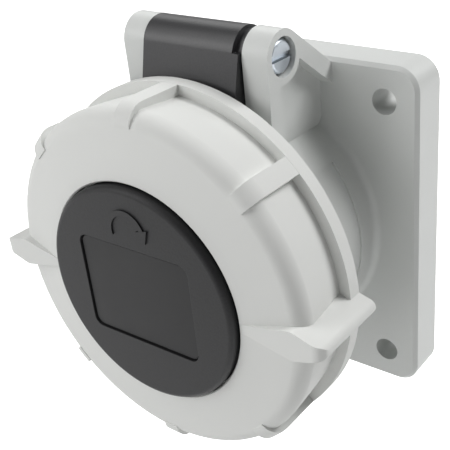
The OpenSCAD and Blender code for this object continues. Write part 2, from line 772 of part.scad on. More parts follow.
// Slotted screw that serves as the hinge pin; its head is domed.
module hinge_screw() {
    color(zinc) in_row_frame() difference() {
        union() {
            on_hinge(screw_end_x, head_seat_x + join, pin_r);
            translate([head_seat_x, hinge_y, hinge_z]) rotate([0, 90, 0]) rotate_extrude() polygon(concat(
                [[0, 0], [pin_head_d / 2, 0]],
                arc([pin_head_d / 2 - head_edge_r, pin_head_h - head_edge_r], head_edge_r, 0, 70, 6),
                [[0, pin_head_h]]));
        }
        translate([head_seat_x + pin_head_h - pin_slot_depth, hinge_y, hinge_z]) rotate([slot_turn, 0, 0])
            translate([0, -pin_slot_w / 2, -pin_head_d]) cube([pin_slot_depth + cut, pin_slot_w, 2 * pin_head_d]);
    }
}

// Hexagon nut in the left lug.
module hinge_nut() {
    color(zinc) in_row_frame() difference() {
        on_hinge(nut_seat_x - nut_t, nut_seat_x, nut_af / sqrt(3), 6);
        on_hinge(nut_seat_x - nut_t - cut, nut_seat_x + cut, pin_r + 0.03);
    }
}

// Centre line of the spring: an end in the arm, the turns, and an end in the lug.
function spring_path() = concat(
    [[pocket_x - tang_len, tang_place[1], tang_place[2]]],
    [for (i = [0:coil_turns * coil_steps]) let (a = 360 * i / coil_steps)
        [coil_start_x + coil_len * i / (coil_turns * coil_steps),
            hinge_y + coil_r * cos(a), hinge_z + coil_r * sin(a)]],
    [[lug_in + tang_len, tang_place[1], tang_place[2]]]);

// A round wire along a path that goes round the hinge axis.
module wire(path, r, sides) {
    n = len(path);
    rings = [for (i = [0:n - 1])
        let (t = path[min(i + 1, n - 1)] - path[max(i - 1, 0)],
            along = t / norm(t),
            out = [0, path[i][1] - hinge_y, path[i][2] - hinge_z] / coil_r,
            side = cross(along, out),
            up = side / norm(side))
        [for (k = [0:sides - 1]) path[i] + r * (out * cos(360 * k / sides) + up * sin(360 * k / sides))]];
    walls = [for (i = [0:n - 2], k = [0:sides - 1]) let (m = (k + 1) % sides)
        [i * sides + k, (i + 1) * sides + k, (i + 1) * sides + m, i * sides + m]];
    polyhedron([for (ring = rings) each ring],
        concat(walls, [[for (k = [0:sides - 1]) k]], [[for (k = [sides - 1:-1:0]) (n - 1) * sides + k]]));
}

module hinge_spring() {
    color(zinc) in_row_frame() wire(spring_path(), wire_d / 2, 8);
}

housing();
flange_gasket();
contact_carrier();
terminal_block();
contact(contact_angles[0]);  // sleeve_l1
contact(contact_angles[1]);  // sleeve_l2
contact(contact_angles[2]);  // sleeve_l3
contact(earth_at);  // sleeve_earth
clamp_screw(contact_angles[0]);  // terminal_screw_l1
clamp_screw(contact_angles[1]);  // terminal_screw_l2
clamp_screw(contact_angles[2]);  // terminal_screw_l3
clamp_screw(earth_at);  // terminal_screw_earth
carrier_screw(screw_angles[0]);  // carrier_screw_a
carrier_screw(screw_angles[1]);  // carrier_screw_b
lid();
lid_seal();
centre_disc();
label_plate();
bayonet_ring();
hinge_screw();
hinge_nut();
hinge_spring();
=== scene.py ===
"""An industrial panel socket: its finished pieces, their materials, and a plain studio."""

import math

import bmesh
import bpy
from bpy.props import FloatProperty, FloatVectorProperty, PointerProperty
from mathutils import Matrix, Vector


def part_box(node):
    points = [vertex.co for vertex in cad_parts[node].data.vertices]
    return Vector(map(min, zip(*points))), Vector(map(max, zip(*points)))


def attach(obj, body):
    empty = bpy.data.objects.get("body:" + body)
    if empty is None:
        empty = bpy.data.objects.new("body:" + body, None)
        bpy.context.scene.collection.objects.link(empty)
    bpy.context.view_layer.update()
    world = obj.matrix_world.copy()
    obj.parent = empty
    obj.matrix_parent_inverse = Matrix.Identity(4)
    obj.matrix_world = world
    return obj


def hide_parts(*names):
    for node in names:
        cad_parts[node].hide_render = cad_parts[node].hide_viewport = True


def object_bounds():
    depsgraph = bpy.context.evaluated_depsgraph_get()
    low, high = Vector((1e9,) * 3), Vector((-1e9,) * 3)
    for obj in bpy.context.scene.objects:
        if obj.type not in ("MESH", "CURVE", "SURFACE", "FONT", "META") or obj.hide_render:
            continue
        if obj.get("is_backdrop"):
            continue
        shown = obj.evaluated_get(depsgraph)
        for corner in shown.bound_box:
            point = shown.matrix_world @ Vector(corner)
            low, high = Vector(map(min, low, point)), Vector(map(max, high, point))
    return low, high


bl_info = {
    "name": "Panel socket",
    "version": (1, 0, 0),
    "blender": (4, 5, 0),
    "location": "3D View > Sidebar > Panel socket",
    "description": "Dresses a panel socket with moulded, rubber and metal finishes",
    "category": "Object",
}

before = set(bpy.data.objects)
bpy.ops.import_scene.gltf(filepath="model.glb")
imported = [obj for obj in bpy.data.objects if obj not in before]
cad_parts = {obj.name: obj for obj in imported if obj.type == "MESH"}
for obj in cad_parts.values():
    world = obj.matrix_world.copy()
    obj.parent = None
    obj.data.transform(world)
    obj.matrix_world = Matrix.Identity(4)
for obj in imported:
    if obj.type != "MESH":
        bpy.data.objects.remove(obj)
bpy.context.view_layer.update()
MM = 0.001


# ---- Places, worked out from the frame ----

def node_box(name):
    """Lowest and highest corner of a node, as vectors."""
    low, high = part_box(name)
    return Vector(low), Vector(high)


DISC_LOW, DISC_HIGH = node_box("centre_disc")
RING_FRONT_Y = node_box("bayonet_ring")[0].y
# A radius just outside the ring's hole, in which the disc lies.
DISC_HOLE_R = DISC_HIGH.x + 0.35 * MM


# ---- Numbers that stay fixed ----

# The ring's bore, and how far behind its front its edge, its face and the lip of its hole reach.
RING_BORE_R = 34.3 * MM
RING_EDGE_BAND = 5.6 * MM
RING_FACE_BAND = 2.3 * MM
RING_LIP_BAND = 0.5 * MM

# How far apart two vertices may lie to be merged, and the bend below which faces count as flat.
WELD = 0.002 * MM
FLAT = math.radians(0.5)
# The bend above which an edge is rounded, and the one above which shading keeps it sharp.
ROUNDED_ABOVE = math.radians(35)
SHARP_ABOVE = math.radians(32)
# How many faces stand across each rounded edge.
EDGE_STEPS = 2
# Radii on the edges of the small pieces.
PLATE_EDGE = 0.08 * MM
SCREW_EDGE = 0.15 * MM
NUT_EDGE = 0.2 * MM
INSULATOR_EDGE = 0.25 * MM
SLEEVE_EDGE = 0.15 * MM

# How deep the arrow starts in the disc, where its shaft starts, and how far that turns, in how many steps.
DISC_SINK = 0.1 * MM
ARROW_TAIL = math.radians(-15)
ARROW_SWEEP = math.radians(180)
ARROW_STEPS = 28
# The arrow head's reach in half-widths of the shaft, how far past the shaft's end its centre lies as a
# share of that reach, and how much higher than the shaft it stands.
ARROW_HEAD_WIDTHS = 3.2
ARROW_HEAD_PLACE = 0.25
ARROW_HEAD_RISE = 0.03 * MM

# How fine each texture is, in features for each metre.
CLOUD_SCALE = 45.0
GLOSS_SCALE = 160.0
PATCH_SCALE = 350.0
# How far specks change a colour's factor, and how far gloss, grains and tool lines change a roughness.
SPECK_DEPTH = 0.015
GLOSS_DEPTH = 0.06
GRAIN_GLOSS_DEPTH = 0.07
LINE_GLOSS_DEPTH = 0.04
# The small grains of the eroded texture: how much finer than the large ones, and their part of the height.
FINE_GRAIN = 2.0
FINE_SHARE = 0.6
# What brings the greatest height to about one, and the factors on the colour for the painted shade in its
# pits and the painted highlight on its tops.
HEIGHT_TO_ONE = 0.6
PAINTED_PIT_SHADE, PAINTED_TOP_HIGHLIGHT = 0.5, 1.5
# The factors on a metal's colour in its darkest and lightest patches, and the stretch of its tool lines.
DULL_SHADE, BRIGHT_SHADE = 0.88, 1.06
LINE_STRETCH = (0.15, 1.0, 1.0)

# What the lid, the disc and the plate make of the black that a user sets: a factor on its colour, and for
# the first two a step in its roughness.
LID_SHADE, LID_STEP = 0.85, -0.08
DISC_SHADE, DISC_STEP = 0.45, 0.04
PLATE_SHADE = 0.35
# How much finer the lid's grains are than the disc's.
LID_FINENESS = 1.2

# The floor: half its width in metres, its colour and its roughness.
FLOOR_REACH = 3.0
FLOOR_COLOUR = (0.8, 0.8, 0.8, 1.0)
FLOOR_ROUGHNESS = 0.9
WHITE = (1.0, 1.0, 1.0, 1.0)
# The camera's sensor in millimetres, and the nearest thing that it sees, in metres.
SENSOR_WIDTH = 36.0
NEAREST = 0.01
# Each lamp of the studio: its name, its turn to the right of the front and its height, in degrees.
LAMPS = (("back_right", 135, 45), ("front_left", -40, 25), ("high_left", -45, 55),
         ("back_left", -135, 40), ("front", 0, 10), ("top", 0, 88))


# ---- Settings ----

def colour(label, words, value):
    """A colour that a user may change."""
    return FloatVectorProperty(
        name=label, description=words, default=value, subtype="COLOR", size=3, min=0.0, max=1.0)


def length(label, words, value):
    """A length that a user may change."""
    return FloatProperty(name=label, description=words, default=value, min=0.0, unit="LENGTH")


def power(label, words, value):
    """A lamp's power in watts that a user may change."""
    return FloatProperty(name=label, description=words, default=value, min=0.0, unit="POWER")


def share(label, words, value):
    """A factor between nothing and one."""
    return FloatProperty(
        name=label, description=words, default=value, min=0.0, max=1.0, subtype="FACTOR")


class PlasticSettings(bpy.types.PropertyGroup):
    """Colours and surface of the moulded parts."""
    housing: colour("Housing", "Colour of the housing", (0.66, 0.675, 0.66))
    black: colour("Black", "Colour of the lid, its arm and the disc", (0.022, 0.022, 0.024))
    insulator: colour(
        "Insulator", "Colour of the contact carrier and the terminal block", (0.05, 0.05, 0.053))
    rubber: colour("Rubber", "Colour of the seals", (0.02, 0.02, 0.02))
    shell_roughness: share("Shell roughness", "Roughness of the housing's plastic", 0.42)
    black_roughness: share("Black roughness", "Roughness of the black plastic", 0.46)
    texture_size: length("Texture size", "Size of the grains on the disc, finer on the lid", 0.35 * MM)
    texture_depth: length("Texture depth", "Depth of the grains on the disc and the lid", 0.02 * MM)


class MetalSettings(bpy.types.PropertyGroup):
    """Colours of the metal parts."""
    zinc: colour("Zinc", "Colour of the zinc-plated screws, nut and spring", (0.50, 0.54, 0.58))
    brass: colour("Brass", "Colour of the contacts", (0.72, 0.50, 0.22))


class ShapeSettings(bpy.types.PropertyGroup):
    """Edge rounding of the moulded parts, the ring's front and the turning arrow."""
    housing_edge: length("Housing edge", "Radius on the edges of the housing", 0.4 * MM)
    lid_edge: length("Lid edge", "Radius on the edges of the lid and its arm", 0.35 * MM)
    disc_edge: length("Disc edge", "Radius on the edges of the disc and its recess", 0.12 * MM)
    ring_edge: length("Ring edge", "Radius on the edges of the ring", 0.3 * MM)
    ring_forward: length("Ring forward", "How far the ring's front is brought forward", 0.8 * MM)
    arrow_place: length("Arrow place", "Height of the turning arrow's centre above the disc's", 14.2 * MM)
    arrow_radius: length("Arrow radius", "Radius of the turning arrow's arc", 4.3 * MM)
    arrow_width: length("Arrow width", "Width of the turning arrow's line", 1.1 * MM)
    arrow_height: length("Arrow height", "Height of the turning arrow above the disc", 0.3 * MM)


class StudioSettings(bpy.types.PropertyGroup):
    """Camera and light."""
    azimuth: FloatProperty(name="Azimuth", description="Turn of the camera to the right", default=35.947)
    elevation: FloatProperty(
        name="Elevation", description="Angle of the camera above the horizon", default=28.068)
    roll: FloatProperty(name="Roll", description="Roll of the camera about its axis", default=-3.704)
    distance: length("Distance", "Distance from the camera to its target", 194.25 * MM)
    target_x: length("Target across", "Target's distance right of the socket's axis", 7.62 * MM)
    target_depth: length("Target depth", "Target's distance in front of the panel", 9.3 * MM)
    target_drop: length("Target drop", "Target's distance below the socket's axis", 3.21 * MM)
    lens: FloatProperty(name="Lens", description="Focal length in millimetres", default=67.8)
    shift: FloatProperty(name="Shift", description="Sideways shift of the lens", default=-0.1667)
    back_right: power("Back right lamp", "Power of the strong lamp behind on the right", 6.3)
    front_left: power("Front left lamp", "Power of the low lamp at the front on the left", 2.9)
    high_left: power("High left lamp", "Power of the high lamp at the front on the left", 1.8)
    back_left: power("Back left lamp", "Power of the lamp behind on the left", 1.2)
    front: power("Front lamp", "Power of the level lamp in front", 0.85)
    top: power("Top lamp", "Power of the lamp overhead", 0.6)
    lamp_size: length("Lamp size", "Width of each square lamp", 450 * MM)
    lamp_distance: length("Lamp distance", "Distance from the socket to each lamp", 900 * MM)
    sky: FloatProperty(name="Sky", description="Strength of the surrounding light", default=0.04)
    sky_gloss: FloatProperty(
        name="Sky gloss", description="Strength of the surroundings in reflections", default=0.35)
    floor_glow: FloatProperty(
        name="Floor glow", description="How far the floor is raised to white", default=0.85)
    floor_drop: length("Floor drop", "Distance from the lowest point to the floor", 45 * MM)


# ---- Node groups ----

SURFACE = (("Color", "NodeSocketColor"), ("Roughness", "NodeSocketFloat"), ("Height", "NodeSocketFloat"))


def new_group(name, inputs):
    """A node group that puts out a surface: its tree, its input node and its output node."""
    tree = bpy.data.node_groups.new(name, "ShaderNodeTree")
    for label, kind, value in inputs:
        socket = tree.interface.new_socket(name=label, in_out="INPUT", socket_type=kind)
        socket.default_value = value
    for label, kind in SURFACE:
        tree.interface.new_socket(name=label, in_out="OUTPUT", socket_type=kind)
    return tree, tree.nodes.new("NodeGroupInput"), tree.nodes.new("NodeGroupOutput")


def feed(tree, value, socket):
    """Gives a socket a number, or links another socket to it."""
    if isinstance(value, (int, float)):
        socket.default_value = value
    else:
        tree.links.new(value, socket)


def maths(tree, operation, first, second):
    """A maths node fed by two sockets or numbers."""
    node = tree.nodes.new("ShaderNodeMath")
    node.operation = operation
    feed(tree, first, node.inputs[0])
    feed(tree, second, node.inputs[1])
    return node.outputs[0]


def strongest(tree, *values):
    """The greatest of some sockets or numbers."""
    result = values[0]
    for value in values[1:]:
        result = maths(tree, "MAXIMUM", result, value)
    return result


def noise(tree, vector, scale, detail, roughness=0.5):
    """A noise texture of the given scale, from nothing to one."""
    node = tree.nodes.new("ShaderNodeTexNoise")
    tree.links.new(vector, node.inputs["Vector"])
    feed(tree, scale, node.inputs["Scale"])
    feed(tree, detail, node.inputs["Detail"])
    feed(tree, roughness, node.inputs["Roughness"])
    return node.outputs["Fac"]


def object_vector(tree):
    """The object's own coordinates."""
    return tree.nodes.new("ShaderNodeTexCoord").outputs["Object"]


def spread(tree, value, low, high):
    """Remaps a value from nothing-to-one onto low-to-high."""
    node = tree.nodes.new("ShaderNodeMapRange")
    tree.links.new(value, node.inputs["Value"])
    feed(tree, low, node.inputs["To Min"])
    feed(tree, high, node.inputs["To Max"])
    return node.outputs["Result"]


def around(tree, value, middle, reach):
    """Remaps a value from nothing-to-one onto a reach to both sides of a middle."""
    return spread(tree, value, maths(tree, "SUBTRACT", middle, reach), maths(tree, "ADD", middle, reach))


def tinted(tree, colour_socket, factor):
    """A colour scaled by a factor."""
    node = tree.nodes.new("ShaderNodeVectorMath")
    node.operation = "SCALE"
    tree.links.new(colour_socket, node.inputs[0])
    tree.links.new(factor, node.inputs["Scale"])
    return node.outputs["Vector"]


def moulded_group():
    """Moulded plastic: faint flow clouds, uneven gloss and a fine skin."""
    tree, given, out = new_group(
        "moulded_plastic",
        [("Color", "NodeSocketColor", (0.5, 0.5, 0.5, 1.0)),
         ("Roughness", "NodeSocketFloat", 0.4),
         ("Clouding", "NodeSocketFloat", 0.03),
         ("Grain Scale", "NodeSocketFloat", 3000.0),
         ("Grain Depth", "NodeSocketFloat", 0.5)])
    vector = object_vector(tree)
    clouds = noise(tree, vector, CLOUD_SCALE, detail=3.0)
    grain = noise(tree, vector, given.outputs["Grain Scale"], detail=3.0, roughness=0.6)
    gloss = noise(tree, vector, GLOSS_SCALE, detail=4.0, roughness=0.6)
    speck = spread(tree, grain, 1.0 - SPECK_DEPTH, 1.0 + SPECK_DEPTH)
    shade = maths(tree, "MULTIPLY", around(tree, clouds, 1.0, given.outputs["Clouding"]), speck)
    uneven = spread(tree, gloss, -GLOSS_DEPTH, GLOSS_DEPTH)
    tree.links.new(tinted(tree, given.outputs["Color"], shade), out.inputs["Color"])
    tree.links.new(maths(tree, "ADD", given.outputs["Roughness"], uneven), out.inputs["Roughness"])
    tree.links.new(maths(tree, "MULTIPLY", grain, given.outputs["Grain Depth"]), out.inputs["Height"])
    return tree


def textured_group():
    """Spark-eroded mould texture: rounded grains of one size with finer ones between, with painted shade in
    the pits and a painted highlight on the tops.
    """
    tree, given, out = new_group(
        "eroded_texture",
        [("Color", "NodeSocketColor", (0.02, 0.02, 0.02, 1.0)),
         ("Roughness", "NodeSocketFloat", 0.45),
         ("Grain Scale", "NodeSocketFloat", 2800.0)])
    vector = object_vector(tree)
    cells = tree.nodes.new("ShaderNodeTexVoronoi")
    cells.feature = "SMOOTH_F1"
    tree.links.new(vector, cells.inputs["Vector"])
    tree.links.new(given.outputs["Grain Scale"], cells.inputs["Scale"])
    finer = maths(tree, "MULTIPLY", given.outputs["Grain Scale"], FINE_GRAIN)
    fine = noise(tree, vector, finer, detail=2.0)
    coarse = maths(tree, "SUBTRACT", 1.0, cells.outputs["Distance"])
    height = maths(tree, "ADD", coarse, maths(tree, "MULTIPLY", fine, FINE_SHARE))
    # Painted shade and highlight: the colour is darker in the grains' pits and lighter on their tops,
    # standing in for light falling on the relief.
    painted_grain_light = spread(tree, maths(tree, "MULTIPLY", height, HEIGHT_TO_ONE), PAINTED_PIT_SHADE, PAINTED_TOP_HIGHLIGHT)
    uneven = around(tree, fine, given.outputs["Roughness"], GRAIN_GLOSS_DEPTH)
    tree.links.new(tinted(tree, given.outputs["Color"], painted_grain_light), out.inputs["Color"])
    tree.links.new(uneven, out.inputs["Roughness"])
    tree.links.new(height, out.inputs["Height"])
    return tree


def worked_metal_group():
    """Plated or turned metal: tool lines along one axis, with dull patches."""
    tree, given, out = new_group(
        "worked_metal",
        [("Color", "NodeSocketColor", (0.6, 0.6, 0.6, 1.0)),
         ("Roughness", "NodeSocketFloat", 0.3),
         ("Line Scale", "NodeSocketFloat", 900.0),
         ("Dullness", "NodeSocketFloat", 0.12)])
    vector = object_vector(tree)
    stretch = tree.nodes.new("ShaderNodeMapping")
    stretch.inputs["Scale"].default_value = LINE_STRETCH
    tree.links.new(vector, stretch.inputs["Vector"])
    lines = noise(tree, stretch.outputs["Vector"], given.outputs["Line Scale"], detail=2.0)
    patches = noise(tree, vector, PATCH_SCALE, detail=3.0)
    shade = spread(tree, patches, DULL_SHADE, BRIGHT_SHADE)
    dull = maths(tree, "MULTIPLY", patches, given.outputs["Dullness"])
    rough = maths(tree, "ADD", given.outputs["Roughness"], dull)
    uneven = spread(tree, lines, -LINE_GLOSS_DEPTH, LINE_GLOSS_DEPTH)
    tree.links.new(tinted(tree, given.outputs["Color"], shade), out.inputs["Color"])
    tree.links.new(maths(tree, "ADD", rough, uneven), out.inputs["Roughness"])
    tree.links.new(lines, out.inputs["Height"])
    return tree


# ---- Materials ----

MADE = {}


def once(make):
    """What a function makes, made only the first time."""
    if make not in MADE:
        MADE[make] = make()
    return MADE[make]


def finished(name, tree, values, bump_strength, bump_distance, metallic=0.0, specular=0.5):
    """A material whose colour, roughness and relief come from one node group."""
    material = bpy.data.materials.new(name)
    material.use_nodes = True
    nodes, links = material.node_tree.nodes, material.node_tree.links
    shader = nodes["Principled BSDF"]
    shader.inputs["Metallic"].default_value = metallic
    shader.inputs["Specular IOR Level"].default_value = specular
    effect = nodes.new("ShaderNodeGroup")
    effect.node_tree = tree
    for label, value in values.items():
        effect.inputs[label].default_value = value
    bump = nodes.new("ShaderNodeBump")
    bump.inputs["Strength"].default_value = bump_strength
    bump.inputs["Distance"].default_value = bump_distance
    links.new(effect.outputs["Color"], shader.inputs["Base Color"])
    links.new(effect.outputs["Roughness"], shader.inputs["Roughness"])
    links.new(effect.outputs["Height"], bump.inputs["Height"])
    links.new(bump.outputs["Normal"], shader.inputs["Normal"])
    return material


def opaque(rgb, shade=1.0):
    """A colour with full alpha, darkened by a factor."""
    return (*(shade * part for part in rgb), 1.0)


def light_grey_plastic():
    """Satin light grey plastic of the housing."""
    plastic = bpy.context.scene.socket_plastic
    return finished(
        "light_grey_plastic", once(moulded_group),
        {"Color": opaque(plastic.housing), "Roughness": plastic.shell_roughness,
         "Clouding": 0.012, "Grain Scale": 2600.0, "Grain Depth": 1.0},
        bump_strength=0.25, bump_distance=0.008 * MM)


def black_plastic():
    """Satin black plastic of the lid and its arm, with a finer texture than the disc's."""
    plastic = bpy.context.scene.socket_plastic
    return finished(
        "black_plastic", once(textured_group),
        {"Color": opaque(plastic.black, LID_SHADE), "Roughness": plastic.black_roughness + LID_STEP,
         "Grain Scale": LID_FINENESS / plastic.texture_size},
        bump_strength=0.5, bump_distance=plastic.texture_depth)


def textured_black():
    """Dull black plastic of the disc and its arrow, with a spark-eroded texture."""
    plastic = bpy.context.scene.socket_plastic
    return finished(
        "textured_black", once(textured_group),
        {"Color": opaque(plastic.black, DISC_SHADE), "Roughness": plastic.black_roughness + DISC_STEP,
         "Grain Scale": 1.0 / plastic.texture_size},
        bump_strength=0.6, bump_distance=plastic.texture_depth, specular=0.3)


def label_black():
    """Smooth black plastic of the blank plate."""
    plastic = bpy.context.scene.socket_plastic
    return finished(
        "label_black", once(moulded_group),
        {"Color": opaque(plastic.black, PLATE_SHADE), "Roughness": 0.4,
         "Clouding": 0.05, "Grain Scale": 3200.0, "Grain Depth": 1.0},
        bump_strength=0.2, bump_distance=0.006 * MM, specular=0.22)


def insulator_plastic():
    """Matt thermoset of the inner insulators."""
    plastic = bpy.context.scene.socket_plastic
    return finished(
        "insulator_plastic", once(moulded_group),
        {"Color": opaque(plastic.insulator), "Roughness": 0.55,
         "Clouding": 0.08, "Grain Scale": 1800.0, "Grain Depth": 1.0},
        bump_strength=0.4, bump_distance=0.015 * MM)


def seal_rubber():
    """Matt rubber of the seals."""
    plastic = bpy.context.scene.socket_plastic
    return finished(
        "seal_rubber", once(moulded_group),
        {"Color": opaque(plastic.rubber), "Roughness": 0.7,
         "Clouding": 0.1, "Grain Scale": 1500.0, "Grain Depth": 1.0},
        bump_strength=0.5, bump_distance=0.02 * MM)


def zinc_plate():
    """Bluish zinc plate of the screws, the nut and the spring."""
    metal = bpy.context.scene.socket_metal
    return finished(
        "zinc_plate", once(worked_metal_group),
        {"Color": opaque(metal.zinc), "Roughness": 0.3, "Line Scale": 1500.0, "Dullness": 0.18},
        bump_strength=0.15, bump_distance=0.01 * MM, metallic=1.0)


def turned_brass():
    """Turned brass of the contacts."""
    metal = bpy.context.scene.socket_metal
    return finished(
        "turned_brass", once(worked_metal_group),
        {"Color": opaque(metal.brass), "Roughness": 0.24, "Line Scale": 1200.0, "Dullness": 0.15},
        bump_strength=0.15, bump_distance=0.01 * MM, metallic=1.0)


# ---- Mesh helpers ----

def paint(piece, material):
    """Gives a piece its only material."""
    piece.data.materials.clear()
    piece.data.materials.append(material)


def shade_by_angle(mesh):
    """Smooth shading that keeps the sharper edges."""
    mesh.polygons.foreach_set("use_smooth", [True] * len(mesh.polygons))
    mesh.set_sharp_from_angle(angle=SHARP_ABOVE)


def mesh_of(name, form):
    """A mesh made of a form, which is freed."""
    mesh = bpy.data.meshes.new(name)
    form.to_mesh(mesh)
    form.free()
    return mesh


def put_in_scene(name, data):
    """A new object in the scene that holds a mesh, a lamp or a camera."""
    holder = bpy.data.objects.new(name, data)
    bpy.context.scene.collection.objects.link(holder)
    return holder


def add_piece(name, mesh, body):
    """Puts a finished mesh into the scene, riding on a body."""
    piece = put_in_scene(name, mesh)
    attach(piece, body)
    return piece


def merged_copy(node):
    """A node's faces as a closed mesh, with flat faces joined up."""
    form = bmesh.new()
    form.from_mesh(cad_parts[node].data)
    bmesh.ops.remove_doubles(form, verts=form.verts, dist=WELD)
    bmesh.ops.dissolve_limit(
        form, angle_limit=FLAT, use_dissolve_boundaries=False, verts=form.verts, edges=form.edges)
    return form


def round_edges(form, radius):
    """Bevels the sharp edges between two faces."""
    sharp = [edge for edge in form.edges
             if len(edge.link_faces) == 2 and edge.calc_face_angle(0.0) > ROUNDED_ABOVE]
    bmesh.ops.bevel(form, geom=sharp, offset=radius, offset_type="OFFSET", segments=EDGE_STEPS, profile=0.5,
                    affect="EDGES", clamp_overlap=True, material=-1)


def even_normals(piece):
    """Lets the large faces keep their own shading, so that only the rounded edges turn."""
    weighted = piece.modifiers.new("even_normals", "WEIGHTED_NORMAL")
    weighted.keep_sharp = True


def rounded_piece(name, node, body, radius, reshape=None):
    """A copy of a node with rounded edges, reshaped first where asked, which stands for the node."""
    form = merged_copy(node)
    if reshape:
        reshape(form)
    round_edges(form, radius)
    mesh = mesh_of(name, form)
    shade_by_angle(mesh)
    piece = add_piece(name, mesh, body)
    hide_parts(node)
    even_normals(piece)
    return piece


def arrow_arc(form, radius, half, rise):
    """Adds the arrow's curved shaft, from its tail on the left over the top."""
    inner, outer = radius - half, radius + half
    corners = [(inner, DISC_SINK), (outer, DISC_SINK), (outer, -rise), (inner, -rise)]
    turn = Matrix.Rotation(ARROW_TAIL, 4, "Y")
    loop = [form.verts.new(turn @ Vector((-across, depth, 0))) for across, depth in corners]
    cap = form.faces.new(loop)
    bmesh.ops.spin(form, geom=[cap, *cap.edges, *cap.verts], cent=(0, 0, 0), axis=(0, 1, 0),
                   angle=ARROW_SWEEP, steps=ARROW_STEPS, use_merge=False, use_duplicate=False)


def arrow_head(form, radius, reach, rise):
    """Adds the arrow's three-cornered head, across the end of its shaft."""
    made = bmesh.ops.create_cone(form, cap_ends=True, segments=3, radius1=reach, radius2=reach,
                                 depth=DISC_SINK + rise)
    along = Matrix.Rotation(math.radians(90), 4, "X")
    place = Matrix.Translation((-radius, (DISC_SINK - rise) / 2, ARROW_HEAD_PLACE * reach))
    turn = Matrix.Rotation(ARROW_TAIL + ARROW_SWEEP, 4, "Y")
    bmesh.ops.transform(form, matrix=turn @ place @ along, verts=made["verts"])


def front_skin(vertex):
    """Whether a vertex of the ring lies on its front skin, and not on its seat on the lid."""
    behind = vertex.co.y - RING_FRONT_Y
    radius = math.hypot(vertex.co.x, vertex.co.z)
    return ((behind < RING_EDGE_BAND and radius > RING_BORE_R)
            or (behind < RING_FACE_BAND and radius > DISC_HOLE_R)
            or behind < RING_LIP_BAND)


def bring_ring_forward(form):
    """Lengthens the ring's drum, so that its front stands less far behind the disc."""
    skin = [vertex for vertex in form.verts if front_skin(vertex)]
    bmesh.ops.translate(form, verts=skin, vec=(0, -bpy.context.scene.socket_shape.ring_forward, 0))


# ---- Operators ----

class SOCKET_OT_housing(bpy.types.Operator):
    """Finish the housing with rounded edges and light grey plastic"""
    bl_idname = "socket.housing"
    bl_label = "Housing"

    def execute(self, context):
        shape = context.scene.socket_shape
        piece = rounded_piece("housing_shell", "housing", "housing", shape.housing_edge)
        paint(piece, once(light_grey_plastic))
        return {"FINISHED"}


class SOCKET_OT_ring(bpy.types.Operator):
    """Finish the bayonet ring with rounded edges and a front that is brought forward"""
    bl_idname = "socket.ring"
    bl_label = "Bayonet ring"

    def execute(self, context):
        shape = context.scene.socket_shape
        piece = rounded_piece("ring_shell", "bayonet_ring", "ring", shape.ring_edge, bring_ring_forward)
        # This name finds the frame's own plain material, so the ring lacks the housing's texture.
        paint(piece, bpy.data.materials["light_grey_plastic"])
        return {"FINISHED"}


class SOCKET_OT_lid(bpy.types.Operator):
    """Finish the lid and its hinge arm in black plastic"""
    bl_idname = "socket.lid"
    bl_label = "Lid"

    def execute(self, context):
        shape = context.scene.socket_shape
        piece = rounded_piece("lid_shell", "lid", "lid", shape.lid_edge)
        paint(piece, once(black_plastic))
        return {"FINISHED"}


class SOCKET_OT_disc(bpy.types.Operator):
    """Finish the centre disc and its blank plate"""
    bl_idname = "socket.disc"
    bl_label = "Centre disc"

    def execute(self, context):
        shape = context.scene.socket_shape
        disc = rounded_piece("disc_cap", "centre_disc", "lid", shape.disc_edge)
        paint(disc, once(textured_black))
        plate = rounded_piece("blank_plate", "label_plate", "lid", PLATE_EDGE)
        paint(plate, once(label_black))
        return {"FINISHED"}


class SOCKET_OT_arrow(bpy.types.Operator):
    """Raise a plain turning arrow on the disc, which shows the way the ring turns to open"""
    bl_idname = "socket.arrow"
    bl_label = "Turning arrow"

    def execute(self, context):
        shape = context.scene.socket_shape
        radius, half, rise = shape.arrow_radius, shape.arrow_width / 2, shape.arrow_height
        form = bmesh.new()
        arrow_arc(form, radius, half, rise)
        arrow_head(form, radius, ARROW_HEAD_WIDTHS * half, rise + ARROW_HEAD_RISE)
        bmesh.ops.recalc_face_normals(form, faces=form.faces)
        mesh = mesh_of("turning_arrow", form)
        mesh.transform(Matrix.Translation((0, DISC_LOW.y, shape.arrow_place)))
        shade_by_angle(mesh)
        piece = add_piece("turning_arrow", mesh, "lid")
        paint(piece, once(textured_black))
        return {"FINISHED"}


class SOCKET_OT_hardware(bpy.types.Operator):
    """Finish the hinge screw, its nut and spring, and the inner screws in zinc plate"""
    bl_idname = "socket.hardware"
    bl_label = "Screws, nut and spring"

    def execute(self, context):
        zinc = once(zinc_plate)
        for node, edge in (("hinge_screw", SCREW_EDGE), ("hinge_nut", NUT_EDGE)):
            paint(rounded_piece(node + "_plated", node, "housing", edge), zinc)
        for node in ("hinge_spring", "terminal_screw_l1", "terminal_screw_l2", "terminal_screw_l3",
                     "terminal_screw_earth", "carrier_screw_a", "carrier_screw_b"):
            paint(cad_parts[node], zinc)
        return {"FINISHED"}


class SOCKET_OT_insides(bpy.types.Operator):
    """Finish the insulators, the contacts and the seals"""
    bl_idname = "socket.insides"
    bl_label = "Inner parts"

    def execute(self, context):
        for node in ("contact_carrier", "terminal_block"):
            piece = rounded_piece(node + "_moulding", node, "housing", INSULATOR_EDGE)
            paint(piece, once(insulator_plastic))
        for node in ("sleeve_l1", "sleeve_l2", "sleeve_l3", "sleeve_earth"):
            piece = rounded_piece(node + "_turned", node, "housing", SLEEVE_EDGE)
            paint(piece, once(turned_brass))
        for node in ("flange_gasket", "lid_seal"):
            paint(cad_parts[node], once(seal_rubber))
        return {"FINISHED"}


